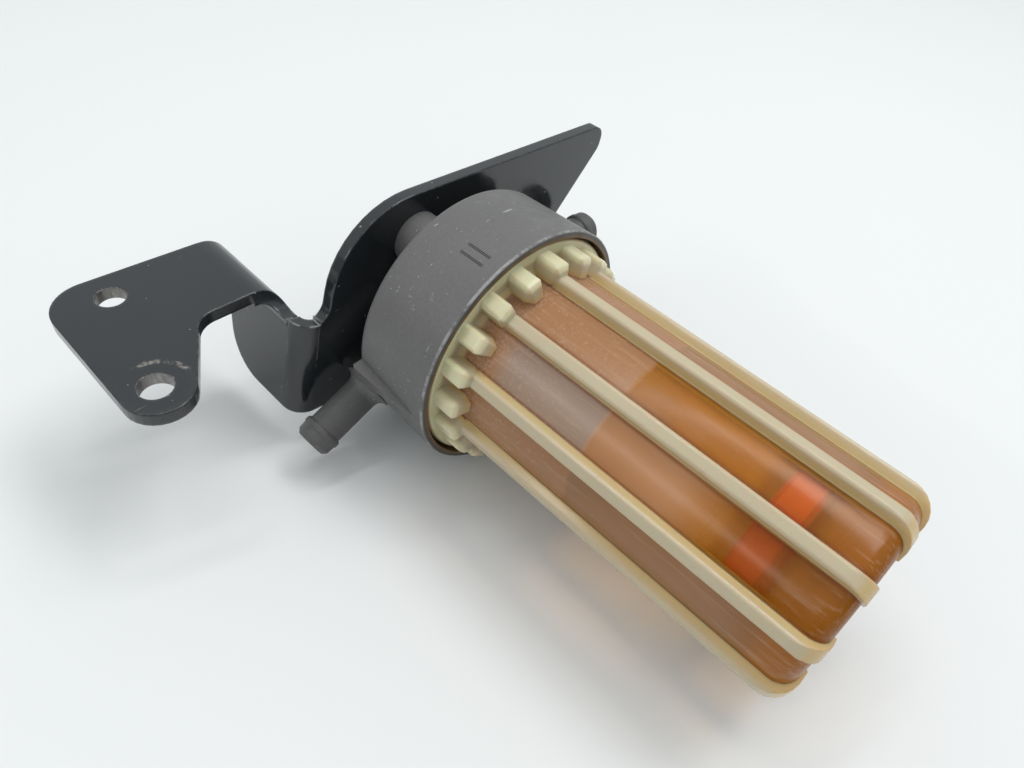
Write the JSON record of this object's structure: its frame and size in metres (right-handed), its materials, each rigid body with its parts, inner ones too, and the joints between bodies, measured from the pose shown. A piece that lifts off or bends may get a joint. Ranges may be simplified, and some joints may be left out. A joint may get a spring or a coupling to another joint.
{
  "type": "fuel water separator",
  "caption": "Bracket-mounted fuel and water separator: barbed plastic head, screw-on clear ribbed bowl with float ring and pleated filter",
  "frame": {"origin": "Middle of the sheet at the bracket tab's larger bolt hole, the hole that fixes the part to an engine.", "axes": "+Z is the tab's larger bolt hole, out of the tab's outer face. +X runs along the bowl's axis from the head to the bowl's closed end, which hangs down in use. +Y points from the tab towards the bowl and the outlet barb."},
  "size_m": [0.16, 0.1427, 0.064],
  "materials": {
    "black_paint": "gloss black paint over bent steel sheet, lightly scuffed",
    "grey_nylon": "satin grey glass-filled nylon",
    "brass": "machined brass",
    "zinc_steel": "zinc plated steel",
    "spring_steel": "zinc plated spring steel",
    "seal_rubber": "black fuel-proof rubber",
    "dark_plastic": "moulded dark plastic",
    "filter_paper": "pleated filter paper stained by fuel",
    "amber_plastic": "yellowed see-through plastic, fuel-stained amber inside",
    "red_plastic": "moulded red plastic"
  },
  "bodies": {
    "base": {"bracket": "black_paint", "head": "grey_nylon", "threaded_inserts": "brass", "mounting_bolts": "zinc_steel", "plain_washers": "zinc_steel", "spring_washers": "spring_steel", "filter_grommet": "seal_rubber", "filter_top_cap": "dark_plastic", "filter_core": "dark_plastic", "filter_media": "filter_paper", "filter_bottom_cap": "dark_plastic"},
    "seal": {"bowl_seal": "seal_rubber"},
    "bowl": {"bowl": "amber_plastic"},
    "float": {"float_ring": "red_plastic"}
  },
  "joints": [
    {"name": "bowl_draw", "type": "slide", "parent": "base", "child": "seal", "axis": [1, 0, 0], "range_m": [0, 0.012]},
    {"name": "bowl_turn", "type": "hinge", "parent": "seal", "child": "bowl", "pos_m": [0.0322, 0.0737, -0.0091], "axis": [1, 0, 0], "range_deg": [0, 1440]},
    {"name": "float_rise", "type": "slide", "parent": "bowl", "child": "float", "axis": [-1, 0, 0], "range_m": [-0.0105, 0.0325]}
  ],
  "couplings": [
    {"joint": "bowl_draw", "follows": "bowl_turn", "m_per_rad": 0.00047746}
  ]
}
